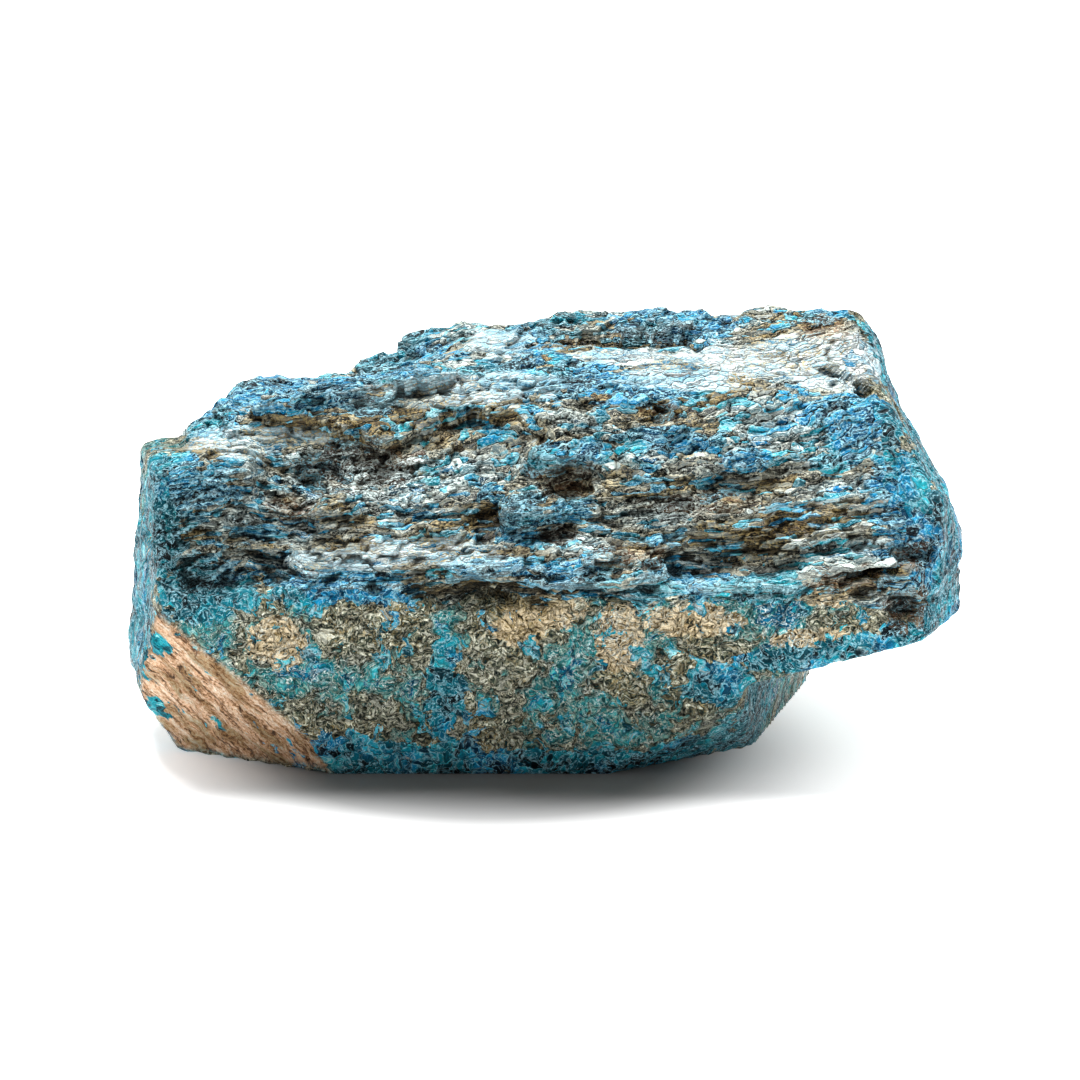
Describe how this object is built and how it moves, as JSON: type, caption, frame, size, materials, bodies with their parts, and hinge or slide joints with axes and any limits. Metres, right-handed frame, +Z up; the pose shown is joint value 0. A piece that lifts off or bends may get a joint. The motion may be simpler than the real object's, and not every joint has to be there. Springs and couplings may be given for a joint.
{
  "type": "apatite specimen",
  "caption": "Hand-sized piece of rough blue apatite rock: layered, stepped top, flat mottled front, tan broken corner and an overhanging right end, lying on a flat underside.",
  "frame": {"origin": "middle of the specimen's box in plan, on the surface that it rests on", "axes": "+Z up; +X along the stone's length, towards the overhanging end; the flat front face looks towards -Y"},
  "size_m": [0.0802, 0.0378, 0.0396],
  "materials": {
    "apatite": "rough broken crystal, dull with small glints"
  },
  "bodies": {
    "root": {"apatite": "apatite"}
  },
  "joints": []
}
